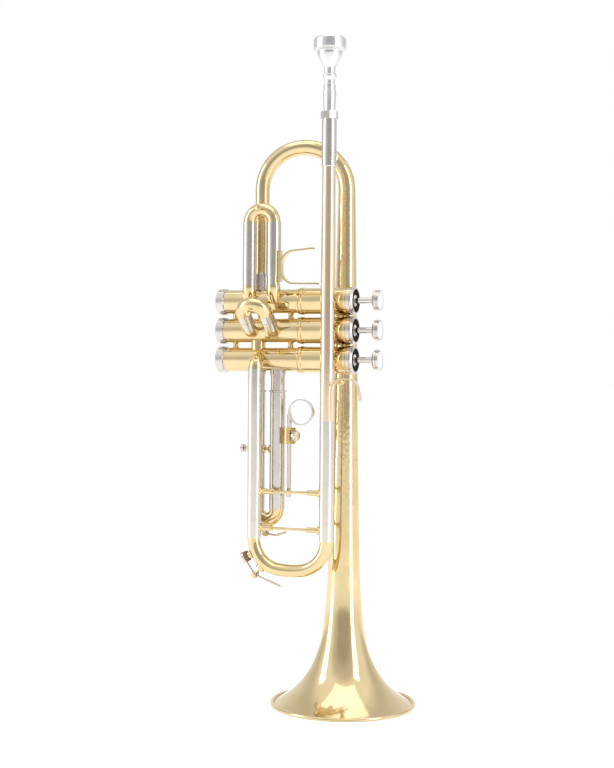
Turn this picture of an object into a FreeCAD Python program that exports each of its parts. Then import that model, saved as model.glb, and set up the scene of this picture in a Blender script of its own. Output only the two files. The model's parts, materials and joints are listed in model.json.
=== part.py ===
import FreeCAD, Part
import math
import os

# B-flat trumpet, standing on its bell.  Millimetres.
# +Z runs from the bell mouth up to the mouthpiece, +X points from the valves to the
# finger buttons, and -Y is the leadpipe side.  The origin is the centre of the bell mouth.

V = FreeCAD.Vector
X_DIR = V(1, 0, 0)
Y_DIR = V(0, 1, 0)
Z_DIR = V(0, 0, 1)

# ---------------------------------------------------------------- driving dimensions

# bell: a cone plus an exponential flare, r = tail + taper * (top - z) + rise * exp(-z / length)
BELL_STEM_TOP = 433.0
BELL_TAIL_RADIUS = 7.2
BELL_TAPER = 0.0195
BELL_FLARE_RISE = 44.7
BELL_FLARE_LENGTH = 25.0
BELL_WALL = 0.8
BELL_SEAM_Z = 118.0
RIM_BEAD_RADIUS = 1.5
RIM_WIRE_RADIUS = 0.9

# bell bow and the straight leg that enters valve 1
BOW_LEG_X = -69.0
BOW_LEG_Y = -18.5
BOW_LEG_RADIUS = 6.0
FERRULE_RADIUS = 7.0
FERRULE_TOP = 363.0

# valves: three parallel casings whose axes run along X
VALVE_Y = -21.9
VALVE_SPACING = 24.4
VALVE_2_Z = 314.15
CASING_BORE = 8.5
CASING_BOTTOM = -97.8
LOWER_CASING_RADIUS = 10.2
UPPER_CASING_START = -29.3
UPPER_CASING_RADIUS = 11.0
UPPER_CASING_END = 10.0
CAP_SEAT_END = 11.8
TOP_CAP_END = 16.2
TOP_CAP_RADIUS = 11.8
BOTTOM_CAP_END = -105.8
BOTTOM_CAP_RADIUS = 11.2
FELT_RADIUS = 9.6
FELT_FACE = 15.5
CAP_BUSH_RADIUS = 4.8
STEM_RADIUS = 2.5
STEM_CLEARANCE = 0.08
PISTON_CLEARANCE = 0.05
PISTON_START = -85.3
PISTON_END = -35.3
BARREL_RADIUS = 7.0
BARREL_TOP = 9.3
GUIDE_X = -33.3
GUIDE_THICKNESS = 3.0
BUTTON_START = 32.4
BUTTON_END = 37.9
BUTTON_RADIUS = 8.65
VALVE_TRAVEL = 16.5
PISTON_WALL = 0.8
GUIDE_HALF_WIDTH = 1.6
SLOT_HALF_WIDTH = 2.0
SPRING_RADIUS = BARREL_RADIUS - 1.8
SPRING_WIRE_RADIUS = 0.45
SPRING_TURNS = 11
# heights along the valve axis of the spool posts, and of the tubes from casing to casing
POST_X = [-91.0, -41.0]
UPPER_POST_X = -2.6
PORT_TUBE_X = [-64.5, -70.3]
PASSAGE_RADIUS = 4.0
# each passage: (place along the axis, slant, turn about the axis in degrees)
PASSAGES = [(-76.0, 5.0, 0), (-62.5, -4.0, 60), (-48.5, 5.0, 120)]

# main tubing
TUBE_RADIUS = 6.15
TUBE_WALL = 0.55
SLIDE_CLEARANCE = 0.08
INNER_TUBE_WALL = 0.5
SLIDE_BORE_RADIUS = TUBE_RADIUS - TUBE_WALL
SLIDE_INNER_RADIUS = SLIDE_BORE_RADIUS - SLIDE_CLEARANCE
PORT_RADIUS = SLIDE_BORE_RADIUS - 0.5
SOLDER_TRIM = 9.0
LEADPIPE_X = -2.1
LEADPIPE_Y = -39.8
LEADPIPE_TOP = 446.5
LEADPIPE_TOP_RADIUS = 5.5
RECEIVER_TOP = 485.0
RECEIVER_COLLAR_TOP = 491.5
RECEIVER_COLLAR_RADIUS = 6.5
LEADPIPE_BRACE_Z = 272.0
RECEIVER_BRACE_ANGLE = 45.0
BRACE_ROD_RADIUS = 1.35
BRACE_SLEEVE_RADIUS = 2.4
HOOK_Y = -44.0
LOWER_LEG_X = -65.6
UPPER_SLEEVE_TOP = 239.5
UPPER_SLEEVE_BOTTOM = 155.3
LOWER_SLEEVE_TOP = 281.9
LOWER_SLEEVE_BOTTOM = 156.8
TUNING_FERRULE_BOTTOM = 141.5
TUNING_BOW_CORNER_Z = 118.95
TUNING_BOW_CORNER_RADIUS = 25.0
TUNING_BOW_SAG = 4.0
TUNING_BOW_BOTTOM_RADIUS = 70.0
TUNING_BOW_RADIUS = 5.45
TUNING_BOW_RADII = [TUNING_BOW_CORNER_RADIUS, TUNING_BOW_BOTTOM_RADIUS, TUNING_BOW_CORNER_RADIUS]
SLEEVE_BRACE_Z = 180.4
TUNING_BRACE_Z = 150.0
TUNING_TRAVEL = 40.0

# tuning slide's water key: angles are measured round the bow's corner, downwards from -X
NIPPLE_ANGLE = 26.0
SADDLE_ANGLE = 52.0
NIPPLE_RADIUS = 3.0
NIPPLE_HEIGHT = 2.6
PIVOT_RADIUS = 0.9
PIVOT_HEIGHT = 8.1
SADDLE_GAP = 2.6
LEVER_DROP = 20.0
KEY_CORK_HEIGHT = 4.2
KEY_CUP_RADIUS = 4.9
CORK_GAP = 0.1

# first valve slide (points up, towards the mouthpiece)
SLIDE_1_Y = -33.1
SLIDE_1_LEFT_X = -74.2
SLIDE_1_RIGHT_X = -52.6
SLIDE_1_KNUCKLE_TOP = 352.0
SLIDE_1_LEFT_SLEEVE_TOP = 398.0
SLIDE_1_RIGHT_TUBE_BOTTOM = 359.3
SLIDE_1_CROOK_Z = 404.0
SLIDE_1_LEFT_RADIUS = 5.8
SLIDE_1_BORE = 5.0
SLIDE_1_CROOK_RADIUS = 5.6
SLIDE_1_TRAVEL = 25.0
THUMB_Y = -37.0

# second valve slide (points out to -Y and up)
SLIDE_2_CENTRE_X = -62.5
SLIDE_2_HALF_SPACING = 9.8
SLIDE_2_TILT = 42.0
SLIDE_2_BEND_RADIUS = 9.0
SLIDE_2_BEND_START_Y = -31.6
SLIDE_2_SLEEVE_LENGTH = 9.5
SLIDE_2_FERRULE_LENGTH = 7.2
SLIDE_2_TRAVEL = 6.0
SLIDE_2_X = [SLIDE_2_CENTRE_X - SLIDE_2_HALF_SPACING, SLIDE_2_CENTRE_X + SLIDE_2_HALF_SPACING]

# third valve slide (points down, towards the bell)
SLIDE_3_Y = VALVE_Y
SLIDE_3_RIGHT_X = -52.3
SLIDE_3_LEFT_X = -70.3
SLIDE_3_TUBE_RADIUS = 6.7
SLIDE_3_TUBE_TOP = 264.3
SLIDE_3_CROOK_Z = 164.0
SLIDE_3_TRAVEL = 30.0
SLIDE_3_BRACE_Z = 214.6
SLIDE_3_INNER_RADIUS = SLIDE_3_TUBE_RADIUS - 0.6 - SLIDE_CLEARANCE
SLIDE_3_CROOK_RADIUS = 6.2
SLIDE_3_X = [SLIDE_3_LEFT_X, SLIDE_3_RIGHT_X]
STOP_SCREW_RADIUS = 1.4
SCREW_CLEARANCE = 0.06

# third slide's water key: the pivot is measured from the middle of the crook's ends
KEY_3_NIPPLE_ANGLE = 36.0
KEY_3_NIPPLE_HEIGHT = 1.6
KEY_3_CORK_HEIGHT = 2.6
KEY_3_CUP_RADIUS = 3.8
KEY_3_GAP = 2.2
KEY_3_POST_RADIUS = 3.8
KEY_3_PIN_RADIUS = 0.8
KEY_3_PIVOT = V(-1.0, 0, -20.8)

# finger ring on the third slide
ROD_X = -39.9
ROD_Y = -26.5
ROD_RADIUS = 2.0
ROD_BOTTOM = 175.0
RING_CENTRE_Z = 246.2
RING_RADIUS = 11.0
RING_THICKNESS = 1.2
RING_WIDTH = 5.0
CLAMP_BOTTOM = 219.7
CLAMP_TOP = 233.2
CLAMP_SCREW_RADIUS = 1.5
RING_TRAVEL = 18.0

# mouthpiece and its socket in the receiver
MOUTHPIECE_SEAT = 466.0
SHANK_SEAT_RADIUS = 4.15
SHANK_MOUTH_RADIUS = 4.85
SHANK_CLEARANCE = 0.06
SHANK_END_BORE = 3.4
MOUTHPIECE_TOP = 551.5
MOUTHPIECE_TRAVEL = 30.0

VALVE_Z = [VALVE_2_Z + VALVE_SPACING, VALVE_2_Z, VALVE_2_Z - VALVE_SPACING]
VALVE_NAMES = ["1", "2", "3"]


# ---------------------------------------------------------------- shape helpers

def rod(start, end, radius):
    """Solid cylinder between two points."""
    return Part.makeCylinder(radius, (end - start).Length, start, end - start)


def hollow_rod(start, end, outer, inner):
    """Straight tube between two points."""
    return rod(start, end, outer).cut(rod(start, end, inner))


def turned(profile, base, axis):
    """Solid turned about an axis.  The profile lists (distance along the axis, radius)."""
    along = V(axis).normalize()
    across = V(0, 1, 0) if abs(along.y) < 0.5 else V(0, 0, 1)
    across = (across - along * across.dot(along)).normalize()
    points = [base + along * t + across * r for t, r in profile]
    face = Part.Face(Part.makePolygon(points + [points[0]]))
    return face.revolve(base, along, 360)


def bent_wire(points, radii):
    """Straight runs joined by tangent arcs: one radius for each middle point."""
    edges = []
    here = points[0]
    for before, corner, after, radius in zip(points, points[1:], points[2:], radii):
        back = (before - corner).normalize()
        ahead = (after - corner).normalize()
        half_angle = back.getAngle(ahead) / 2
        reach = radius / math.tan(half_angle)
        first = corner + back * reach
        last = corner + ahead * reach
        towards_centre = (back + ahead).normalize()
        centre = corner + towards_centre * (radius / math.sin(half_angle))
        middle = centre - towards_centre * radius
        if (first - here).Length > 1e-4:
            edges.append(Part.LineSegment(here, first).toShape())
        edges.append(Part.Arc(first, middle, last).toShape())
        here = last
    if (points[-1] - here).Length > 1e-4:
        edges.append(Part.LineSegment(here, points[-1]).toShape())
    return Part.Wire(edges)


def sweep(section, path):
    """Solid swept along a path, keeping the section square to it."""
    return path.makePipeShell([section], True, False)


def bent_rod(points, radii, radius):
    """Round bar that follows straight runs and tangent arcs."""
    path = bent_wire(points, radii)
    direction = points[1] - points[0]
    ring = Part.Wire([Part.makeCircle(radius, points[0], direction)])
    return sweep(ring, path)


def bent_tube(points, radii, outer, inner):
    """Round tube that follows straight runs and tangent arcs."""
    return bent_rod(points, radii, outer).cut(bent_rod(points, radii, inner))


def bent_strap(points, radii, thickness, width, width_direction):
    """Flat strap: a rectangular section along straight runs and tangent arcs."""
    path = bent_wire(points, radii)
    along = (points[1] - points[0]).normalize()
    across = V(width_direction).normalize() * (width / 2)
    through = along.cross(V(width_direction)).normalize() * (thickness / 2)
    corners = [across + through, through - across, across * -1 - through, across - through]
    corners = [points[0] + corner for corner in corners]
    section = Part.makePolygon(corners + [corners[0]])
    return sweep(section, path)


def half_turn_core(left, right, bulge, radius):
    """Solid bar along the same half turn, to trim what stands on a crook."""
    centre = (left + right) / 2
    arc = Part.Arc(left, centre + V(bulge).normalize() * ((right - left).Length / 2), right).toShape()
    ring = Part.Wire([Part.makeCircle(radius, left, V(bulge))])
    return sweep(ring, Part.Wire([arc]))


def half_turn(left, right, bulge, outer, inner):
    """U-shaped tube between two parallel legs, bulging along a direction."""
    return half_turn_core(left, right, bulge, outer).cut(half_turn_core(left, right, bulge, inner))


def ball_ended(start, end, radius):
    """Rod with a domed end, for knobs and lever tips."""
    dome = Part.makeSphere(radius, end)
    return rod(start, end, radius).fuse(dome)


def together(solids):
    """Group of separate solids in one node."""
    return Part.makeCompound(solids)


# ---------------------------------------------------------------- bell

def bell_radius(z):
    cone = BELL_TAIL_RADIUS + BELL_TAPER * (BELL_STEM_TOP - z)
    return cone + BELL_FLARE_RISE * math.exp(-z / BELL_FLARE_LENGTH)


def bell_wall(z):
    """Wall measured level: it grows where the flare leans out, so the sheet stays even."""
    if z >= BELL_SEAM_Z:
        return BELL_WALL
    lean = BELL_TAPER + BELL_FLARE_RISE / BELL_FLARE_LENGTH * math.exp(-z / BELL_FLARE_LENGTH)
    return BELL_WALL * math.sqrt(1 + 0.6 * lean ** 2)


def bell_shell(heights):
    """Thin shell turned about Z, with smooth curves through the given heights."""
    outer_points = [V(bell_radius(z), 0, z) for z in heights]
    inner_points = [V(bell_radius(z) - bell_wall(z), 0, z) for z in heights]
    curves = []
    for points in (outer_points, inner_points):
        curve = Part.BSplineCurve()
        curve.interpolate(points)
        curves.append(curve.toShape())
    ends = [
        Part.LineSegment(outer_points[0], inner_points[0]).toShape(),
        Part.LineSegment(outer_points[-1], inner_points[-1]).toShape(),
    ]
    wire = Part.Wire(Part.__sortEdges__(curves + ends))
    return Part.Face(wire).revolve(V(0, 0, 0), Z_DIR, 360)


RIM_BEAD_CENTRE = bell_radius(0.0) - 0.45
RIM_BEAD_Z = RIM_BEAD_RADIUS - 0.12


def bell_flare():
    """Spun flare with its edge rolled round the rim wire and a narrow flat land to stand on."""
    sheet = bell_shell([1.0, 2, 4, 7, 10, 14, 19, 25, 32, 40, 50, 62, 76, 92, BELL_SEAM_Z])
    bead = Part.makeTorus(RIM_BEAD_CENTRE, RIM_BEAD_RADIUS, V(0, 0, RIM_BEAD_Z))
    core = Part.makeTorus(RIM_BEAD_CENTRE, RIM_WIRE_RADIUS, V(0, 0, RIM_BEAD_Z))
    below_land = Part.makeBox(200, 200, 5, V(-100, -100, -5))
    return sheet.fuse(bead).cut(core).cut(below_land)


def bell_rim_wire():
    return Part.makeTorus(RIM_BEAD_CENTRE, RIM_WIRE_RADIUS, V(0, 0, RIM_BEAD_Z))


def bow_centre():
    return V(BOW_LEG_X / 2, BOW_LEG_Y / 2, BELL_STEM_TOP)


def bow_point(degrees):
    """Point on the bell bow's centre line: 0 at the tail, 90 at the crown, 180 at the leg."""
    angle = math.radians(degrees)
    outward = V(0, 0, BELL_STEM_TOP) - bow_centre()
    return bow_centre() + outward * math.cos(angle) + Z_DIR * (outward.Length * math.sin(angle))


def bow_core(inset):
    """Solid bar along the bell bow, tapering evenly from the tail to the leg."""
    path = Part.Wire([Part.Arc(bow_point(0), bow_point(90), bow_point(180)).toShape()])
    tail_ring = Part.Wire([Part.makeCircle(bell_radius(BELL_STEM_TOP) - inset, bow_point(0), Z_DIR)])
    leg_ring = Part.Wire([Part.makeCircle(BOW_LEG_RADIUS - inset, bow_point(0), Z_DIR)])
    bow_axis = (bow_point(0) - bow_centre()).cross(Z_DIR)
    leg_ring.rotate(bow_centre(), bow_axis, 180)
    return path.makePipeShell([tail_ring, leg_ring], True, False)


def stem_core(inset):
    """Solid bar the size of the stem, bow and leg, made thinner all round by an inset."""
    heights = [BELL_SEAM_Z, 145, 180, 220, 265, 310, 355, 395, BELL_STEM_TOP]
    side = [V(bell_radius(z) - inset, 0, z) for z in heights]
    curve = Part.BSplineCurve()
    curve.interpolate(side)
    low = V(0, 0, BELL_SEAM_Z)
    high = V(0, 0, BELL_STEM_TOP)
    edges = [
        Part.LineSegment(low, side[0]).toShape(),
        curve.toShape(),
        Part.LineSegment(side[-1], high).toShape(),
        Part.LineSegment(high, low).toShape(),
    ]
    tail = Part.Face(Part.Wire(edges)).revolve(V(0, 0, 0), Z_DIR, 360)
    leg_top = V(BOW_LEG_X, BOW_LEG_Y, BELL_STEM_TOP)
    leg_end = V(BOW_LEG_X, BOW_LEG_Y, VALVE_Z[0])
    leg = rod(leg_end, leg_top, BOW_LEG_RADIUS - inset)
    return tail.fuse([bow_core(inset), leg])


def bell_stem():
    """Stem, bow and leg: one long drawn tube from the seam to valve 1."""
    return stem_core(0.0).cut(stem_core(BELL_WALL)).cut(casing_envelope(0))


def bell_ferrule():
    """Nickel sleeve that holds the bell leg at valve 1."""
    low = VALVE_Z[0]
    profile = [
        (0, BOW_LEG_RADIUS),
        (0, FERRULE_RADIUS),
        (FERRULE_TOP - low - 1.5, FERRULE_RADIUS),
        (FERRULE_TOP - low, FERRULE_RADIUS - 0.6),
        (FERRULE_TOP - low, BOW_LEG_RADIUS),
    ]
    sleeve = turned(profile, V(BOW_LEG_X, BOW_LEG_Y, low), Z_DIR)
    return sleeve.cut(casing_envelope(0))


# ---------------------------------------------------------------- valves

def valve_axis(index, x):
    return V(x, VALVE_Y, VALVE_Z[index])


def casing_envelope(index):
    """Outside of a valve casing, used to trim the tubes soldered to it."""
    return rod(valve_axis(index, CASING_BOTTOM), valve_axis(index, UPPER_CASING_START), LOWER_CASING_RADIUS)


def casing_ports(index):
    """Holes through the casing wall where tubes are soldered on: (x, direction)."""
    down = V(0, 0, -1)
    forward = V(0, -1, 0)
    ports = {
        0: [
            (BOW_LEG_X, Z_DIR),
            (SLIDE_1_LEFT_X, V(0, -1, 0.35)),
            (SLIDE_1_RIGHT_X, V(0, -1, 0.35)),
            (PORT_TUBE_X[0], down),
        ],
        1: [
            (PORT_TUBE_X[0], Z_DIR),
            (PORT_TUBE_X[1], down),
            (SLIDE_2_CENTRE_X - SLIDE_2_HALF_SPACING, forward),
            (SLIDE_2_CENTRE_X + SLIDE_2_HALF_SPACING, forward),
        ],
        2: [
            (PORT_TUBE_X[1], Z_DIR),
            (SLIDE_3_LEFT_X, down),
            (SLIDE_3_RIGHT_X, down),
            (LOWER_LEG_X, forward),
        ],
    }
    return ports[index]


def valve_casing(index):
    """Lower casing, double bead and wider upper casing, threaded ends left plain."""
    bead = 0.9
    outline = [
        (CASING_BOTTOM, CASING_BORE),
        (CASING_BOTTOM, LOWER_CASING_RADIUS),
        (UPPER_CASING_START - 4.4, LOWER_CASING_RADIUS),
        (UPPER_CASING_START - 4.0, LOWER_CASING_RADIUS + bead),
        (UPPER_CASING_START - 2.4, LOWER_CASING_RADIUS + bead),
        (UPPER_CASING_START - 2.0, LOWER_CASING_RADIUS + 0.3),
        (UPPER_CASING_START - 1.6, UPPER_CASING_RADIUS + 0.5),
        (UPPER_CASING_START + 0.4, UPPER_CASING_RADIUS + 0.5),
        (UPPER_CASING_START + 0.9, UPPER_CASING_RADIUS),
        (UPPER_CASING_END - 2.6, UPPER_CASING_RADIUS),
        (UPPER_CASING_END - 2.2, UPPER_CASING_RADIUS + 0.45),
        (UPPER_CASING_END, UPPER_CASING_RADIUS + 0.45),
        (UPPER_CASING_END, CASING_BORE),
    ]
    casing = turned(outline, valve_axis(index, 0), X_DIR)
    for x, direction in casing_ports(index):
        start = valve_axis(index, x)
        casing = casing.cut(rod(start, start + V(direction).normalize() * 14, PORT_RADIUS))
    return casing


def top_cap(index):
    """Screwed cap with two ridges, a recess for the felt and a bush round the stem."""
    outline = [
        (UPPER_CASING_END, BARREL_RADIUS + 0.8),
        (UPPER_CASING_END, UPPER_CASING_RADIUS - 0.2),
        (CAP_SEAT_END - 1.6, UPPER_CASING_RADIUS - 0.2),
        (CAP_SEAT_END - 1.2, TOP_CAP_RADIUS),
        (CAP_SEAT_END + 1.6, TOP_CAP_RADIUS),
        (CAP_SEAT_END + 2.0, TOP_CAP_RADIUS - 0.6),
        (CAP_SEAT_END + 2.8, TOP_CAP_RADIUS - 0.6),
        (CAP_SEAT_END + 3.2, TOP_CAP_RADIUS),
        (TOP_CAP_END - 1.0, TOP_CAP_RADIUS),
        (TOP_CAP_END, TOP_CAP_RADIUS - 1.0),
        (TOP_CAP_END, FELT_RADIUS),
        (TOP_CAP_END - 2.6, FELT_RADIUS),
        (TOP_CAP_END - 2.6, CAP_BUSH_RADIUS),
        (FELT_FACE, CAP_BUSH_RADIUS),
        (FELT_FACE, STEM_RADIUS + 1.4),
        (FELT_FACE - 1.0, STEM_RADIUS + STEM_CLEARANCE),
        (TOP_CAP_END - 4.4, STEM_RADIUS + STEM_CLEARANCE),
        (TOP_CAP_END - 4.4, BARREL_RADIUS + 0.8),
    ]
    return turned(outline, valve_axis(index, 0), X_DIR)


def cap_felt(index):
    """Black felt washer that lies in the recess of the top cap."""
    start = TOP_CAP_END - 2.6
    return hollow_rod(valve_axis(index, start), valve_axis(index, FELT_FACE), FELT_RADIUS, CAP_BUSH_RADIUS)


def bottom_cap(index):
    """Screwed cap with a wide grip ring and a dished face."""
    neck = BOTTOM_CAP_RADIUS - 0.8
    ring_start = CASING_BOTTOM - 0.6
    outline = [
        (CASING_BOTTOM, CASING_BORE + 0.3),
        (CASING_BOTTOM, neck),
        (ring_start, neck),
        (ring_start - 0.6, BOTTOM_CAP_RADIUS),
        (BOTTOM_CAP_END + 0.9, BOTTOM_CAP_RADIUS),
        (BOTTOM_CAP_END, BOTTOM_CAP_RADIUS - 0.9),
        (BOTTOM_CAP_END, BOTTOM_CAP_RADIUS - 3.0),
        (BOTTOM_CAP_END + 0.8, BOTTOM_CAP_RADIUS - 3.6),
        (BOTTOM_CAP_END + 0.8, 1.5),
        (BOTTOM_CAP_END + 2.0, 1.5),
        (BOTTOM_CAP_END + 2.0, CASING_BORE + 0.3),
    ]
    return turned(outline, valve_axis(index, 0), X_DIR)


def spool(start, end, waist, collar):
    """Turned post with a collar at each end and a bead in the middle."""
    length = (end - start).Length
    profile = [
        (0, 0),
        (0, collar),
        (0.9, collar),
        (length * 0.36, waist),
        (length * 0.45, waist),
        (length * 0.5, waist + 0.5),
        (length * 0.55, waist),
        (length * 0.64, waist),
        (length - 0.9, collar),
        (length, collar),
        (length, 0),
    ]
    return turned(profile, start, end - start)


def spool_between(top, bottom, waist, collar):
    """Spool whose waist lies in the gap between two casing axes."""
    half_gap = 3.6
    middle = (top + bottom) / 2
    direction = (bottom - top).normalize()
    start = middle - direction * half_gap
    end = middle + direction * half_gap
    return spool(start, end, waist, collar)


def casing_posts():
    """Spool-shaped posts that hold the casings apart."""
    posts = []
    for index in (0, 1):
        for x in POST_X:
            top = valve_axis(index, x)
            bottom = valve_axis(index + 1, x)
            post = spool_between(top, bottom, 2.2, 3.2)
            posts.append(post.cut(casing_envelope(index)).cut(casing_envelope(index + 1)))
        top = valve_axis(index, UPPER_POST_X)
        bottom = valve_axis(index + 1, UPPER_POST_X)
        post = spool_between(top, bottom, 3.0, 4.4)
        for neighbour in (index, index + 1):
            envelope = rod(
                valve_axis(neighbour, UPPER_CASING_START), valve_axis(neighbour, UPPER_CASING_END),
                UPPER_CASING_RADIUS)
            post = post.cut(envelope)
        posts.append(post)
    return together(posts)


def port_tubes():
    """Short tubes that pass the air from one casing to the next."""
    tubes = []
    for index, x in enumerate(PORT_TUBE_X):
        start = valve_axis(index, x)
        end = valve_axis(index + 1, x)
        tube = hollow_rod(start, end, TUBE_RADIUS, SLIDE_BORE_RADIUS)
        tubes.append(tube.cut(casing_envelope(index)).cut(casing_envelope(index + 1)))
    return together(tubes)


def valve_guide(index):
    """Plastic guide that keys the piston and carries the foot of the spring."""
    base = valve_axis(index, GUIDE_X)
    disc = rod(base, base + X_DIR * GUIDE_THICKNESS, BARREL_RADIUS - 0.75)
    span = 2 * CASING_BORE
    arm = Part.makeBox(GUIDE_THICKNESS, 2 * GUIDE_HALF_WIDTH, span, base - V(0, GUIDE_HALF_WIDTH, span / 2))
    limit = rod(base - X_DIR, base + X_DIR * (GUIDE_THICKNESS + 1), CASING_BORE)
    return disc.fuse(arm).common(limit)


def piston(index):
    """Piston with slanted air passages and the slotted spring barrel on top."""
    radius = CASING_BORE - PISTON_CLEARANCE
    start = valve_axis(index, PISTON_START)
    end = valve_axis(index, PISTON_END)
    limit = rod(start, end, radius)
    body = hollow_rod(start, end, radius, radius - PISTON_WALL)
    discs = [
        rod(valve_axis(index, PISTON_START + 5), valve_axis(index, PISTON_START + 6), radius),
        rod(valve_axis(index, PISTON_END - 1), end, radius),
    ]
    body = body.fuse(discs)
    for outer in (True, False):
        for x, slant, direction in PASSAGES:
            spin = math.radians(direction)
            side = V(0, math.cos(spin), math.sin(spin)) * (CASING_BORE + 4)
            lean = X_DIR * (slant / 2)
            centre = valve_axis(index, x)
            passage_radius = PASSAGE_RADIUS + (0.5 if outer else 0.0)
            passage = rod(centre - side - lean, centre + side + lean, passage_radius)
            body = body.fuse(passage.common(limit)) if outer else body.cut(passage)
    barrel_inner = BARREL_RADIUS - 0.7
    outline = [
        (PISTON_END, barrel_inner),
        (PISTON_END, BARREL_RADIUS),
        (BARREL_TOP, BARREL_RADIUS),
        (BARREL_TOP, STEM_RADIUS - 0.6),
        (BARREL_TOP - 2.0, STEM_RADIUS - 0.6),
        (BARREL_TOP - 2.0, barrel_inner),
    ]
    barrel = turned(outline, valve_axis(index, 0), X_DIR)
    slot_start = GUIDE_X - 0.6
    slot = Part.makeBox(
        GUIDE_THICKNESS + VALVE_TRAVEL + 1.4, 2 * SLOT_HALF_WIDTH, 4 * CASING_BORE,
        V(slot_start, VALVE_Y - SLOT_HALF_WIDTH, VALVE_Z[index] - 2 * CASING_BORE))
    return body.fuse(barrel.cut(slot))


def valve_spring(index):
    """Coil spring between the fixed guide and the top of the barrel."""
    margin = SPRING_WIRE_RADIUS + 0.15
    start = GUIDE_X + GUIDE_THICKNESS + margin
    length = BARREL_TOP - 2.0 - margin - start
    helix = Part.makeHelix(length / SPRING_TURNS, length, SPRING_RADIUS)
    section = Part.Wire([Part.makeCircle(SPRING_WIRE_RADIUS, V(SPRING_RADIUS, 0, 0), Y_DIR)])
    spring = Part.Wire(helix).makePipeShell([section], True, True)
    spring.rotate(V(0, 0, 0), Y_DIR, 90)
    spring.translate(valve_axis(index, start))
    return spring


def finger_button(index):
    """Stem screwed into the barrel, with the finger button on its end."""
    outline = [
        (BARREL_TOP - 1.8, 0),
        (BARREL_TOP - 1.8, STEM_RADIUS - 0.65),
        (BARREL_TOP, STEM_RADIUS - 0.65),
        (BARREL_TOP, STEM_RADIUS),
        (BUTTON_START - 1.0, STEM_RADIUS),
        (BUTTON_START, STEM_RADIUS + 1.4),
        (BUTTON_START, BUTTON_RADIUS - 0.9),
        (BUTTON_START + 0.9, BUTTON_RADIUS),
        (BUTTON_START + 2.6, BUTTON_RADIUS),
        (BUTTON_START + 2.9, BUTTON_RADIUS - 0.5),
        (BUTTON_START + 3.5, BUTTON_RADIUS - 0.5),
        (BUTTON_START + 3.8, BUTTON_RADIUS - 0.2),
        (BUTTON_END - 0.8, BUTTON_RADIUS - 0.3),
        (BUTTON_END - 0.5, BUTTON_RADIUS - 0.9),
        (BUTTON_END - 0.7, BUTTON_RADIUS - 1.3),
        (BUTTON_END - 2.0, BUTTON_RADIUS - 1.4),
        (BUTTON_END - 2.0, 0),
    ]
    return turned(outline, valve_axis(index, 0), X_DIR)


def pearl(index):
    """Slightly domed pearl disc set in the finger button."""
    start = valve_axis(index, BUTTON_END - 2.0)
    radius = BUTTON_RADIUS - 1.45
    rise = 2.0
    dome_rise = 0.7
    dome_radius = (radius ** 2 + dome_rise ** 2) / (2 * dome_rise)
    plug = rod(start, start + X_DIR * rise, radius)
    dome = Part.makeSphere(dome_radius, start + X_DIR * (rise - dome_radius))
    return plug.common(dome)


# ---------------------------------------------------------------- leadpipe side

def leadpipe_at(z):
    return V(LEADPIPE_X, LEADPIPE_Y, z)


def lower_leg_at(z):
    return V(LOWER_LEG_X, LEADPIPE_Y, z)


def mouthpiece_receiver():
    """Receiver with a tapered socket, a thin middle and an eight-sided collar."""
    profile = [
        (LEADPIPE_TOP, LEADPIPE_TOP_RADIUS - TUBE_WALL),
        (LEADPIPE_TOP, TUBE_RADIUS - 0.3),
        (LEADPIPE_TOP + 0.8, TUBE_RADIUS),
        (RECEIVER_TOP, TUBE_RADIUS),
        (RECEIVER_TOP, TUBE_RADIUS - 0.6),
        (RECEIVER_COLLAR_TOP, TUBE_RADIUS - 0.6),
        (RECEIVER_COLLAR_TOP, SHANK_MOUTH_RADIUS + SHANK_CLEARANCE),
        (MOUTHPIECE_SEAT - 1.0, SHANK_SEAT_RADIUS + SHANK_CLEARANCE),
        (MOUTHPIECE_SEAT - 1.0, LEADPIPE_TOP_RADIUS - TUBE_WALL),
    ]
    body = turned(profile, leadpipe_at(0), Z_DIR)
    collar = eight_sided_collar()
    return body.fuse(collar).removeSplitter()


def eight_sided_collar():
    corners = []
    sides = 8
    for index in range(sides):
        angle = 2 * math.pi * (index + 0.5) / sides
        reach = RECEIVER_COLLAR_RADIUS / math.cos(math.pi / sides)
        corners.append(leadpipe_at(RECEIVER_TOP + 0.6) + V(math.cos(angle), math.sin(angle), 0) * reach)
    height = RECEIVER_COLLAR_TOP - RECEIVER_TOP - 0.6
    prism = Part.Face(Part.makePolygon(corners + [corners[0]])).extrude(V(0, 0, height))
    return prism.cut(rod(leadpipe_at(RECEIVER_TOP), leadpipe_at(RECEIVER_COLLAR_TOP + 1), TUBE_RADIUS - 0.8))


def leadpipe():
    """Rose brass leadpipe, wider towards the tuning slide."""
    widen_z = 350.0
    wide = TUBE_RADIUS - 0.1
    profile = [
        (UPPER_SLEEVE_TOP, wide - TUBE_WALL),
        (UPPER_SLEEVE_TOP, wide),
        (widen_z, wide),
        (LEADPIPE_TOP, LEADPIPE_TOP_RADIUS),
        (LEADPIPE_TOP, LEADPIPE_TOP_RADIUS - TUBE_WALL),
        (widen_z, wide - TUBE_WALL),
    ]
    return turned(profile, leadpipe_at(0), Z_DIR)


def sleeve(start, end, lip):
    """Outer slide sleeve with a slightly raised lip at its open end."""
    length = (end - start).Length
    inner = SLIDE_BORE_RADIUS
    profile = [
        (0, inner),
        (0, TUBE_RADIUS),
        (length - lip, TUBE_RADIUS),
        (length - lip, TUBE_RADIUS + 0.15),
        (length, TUBE_RADIUS + 0.15),
        (length, inner),
    ]
    return turned(profile, start, end - start)


def tuning_slide_sleeves():
    upper = sleeve(leadpipe_at(UPPER_SLEEVE_TOP), leadpipe_at(UPPER_SLEEVE_BOTTOM), 1.5)
    lower = sleeve(lower_leg_at(LOWER_SLEEVE_TOP), lower_leg_at(LOWER_SLEEVE_BOTTOM), 1.5)
    return together([upper, lower])


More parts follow.
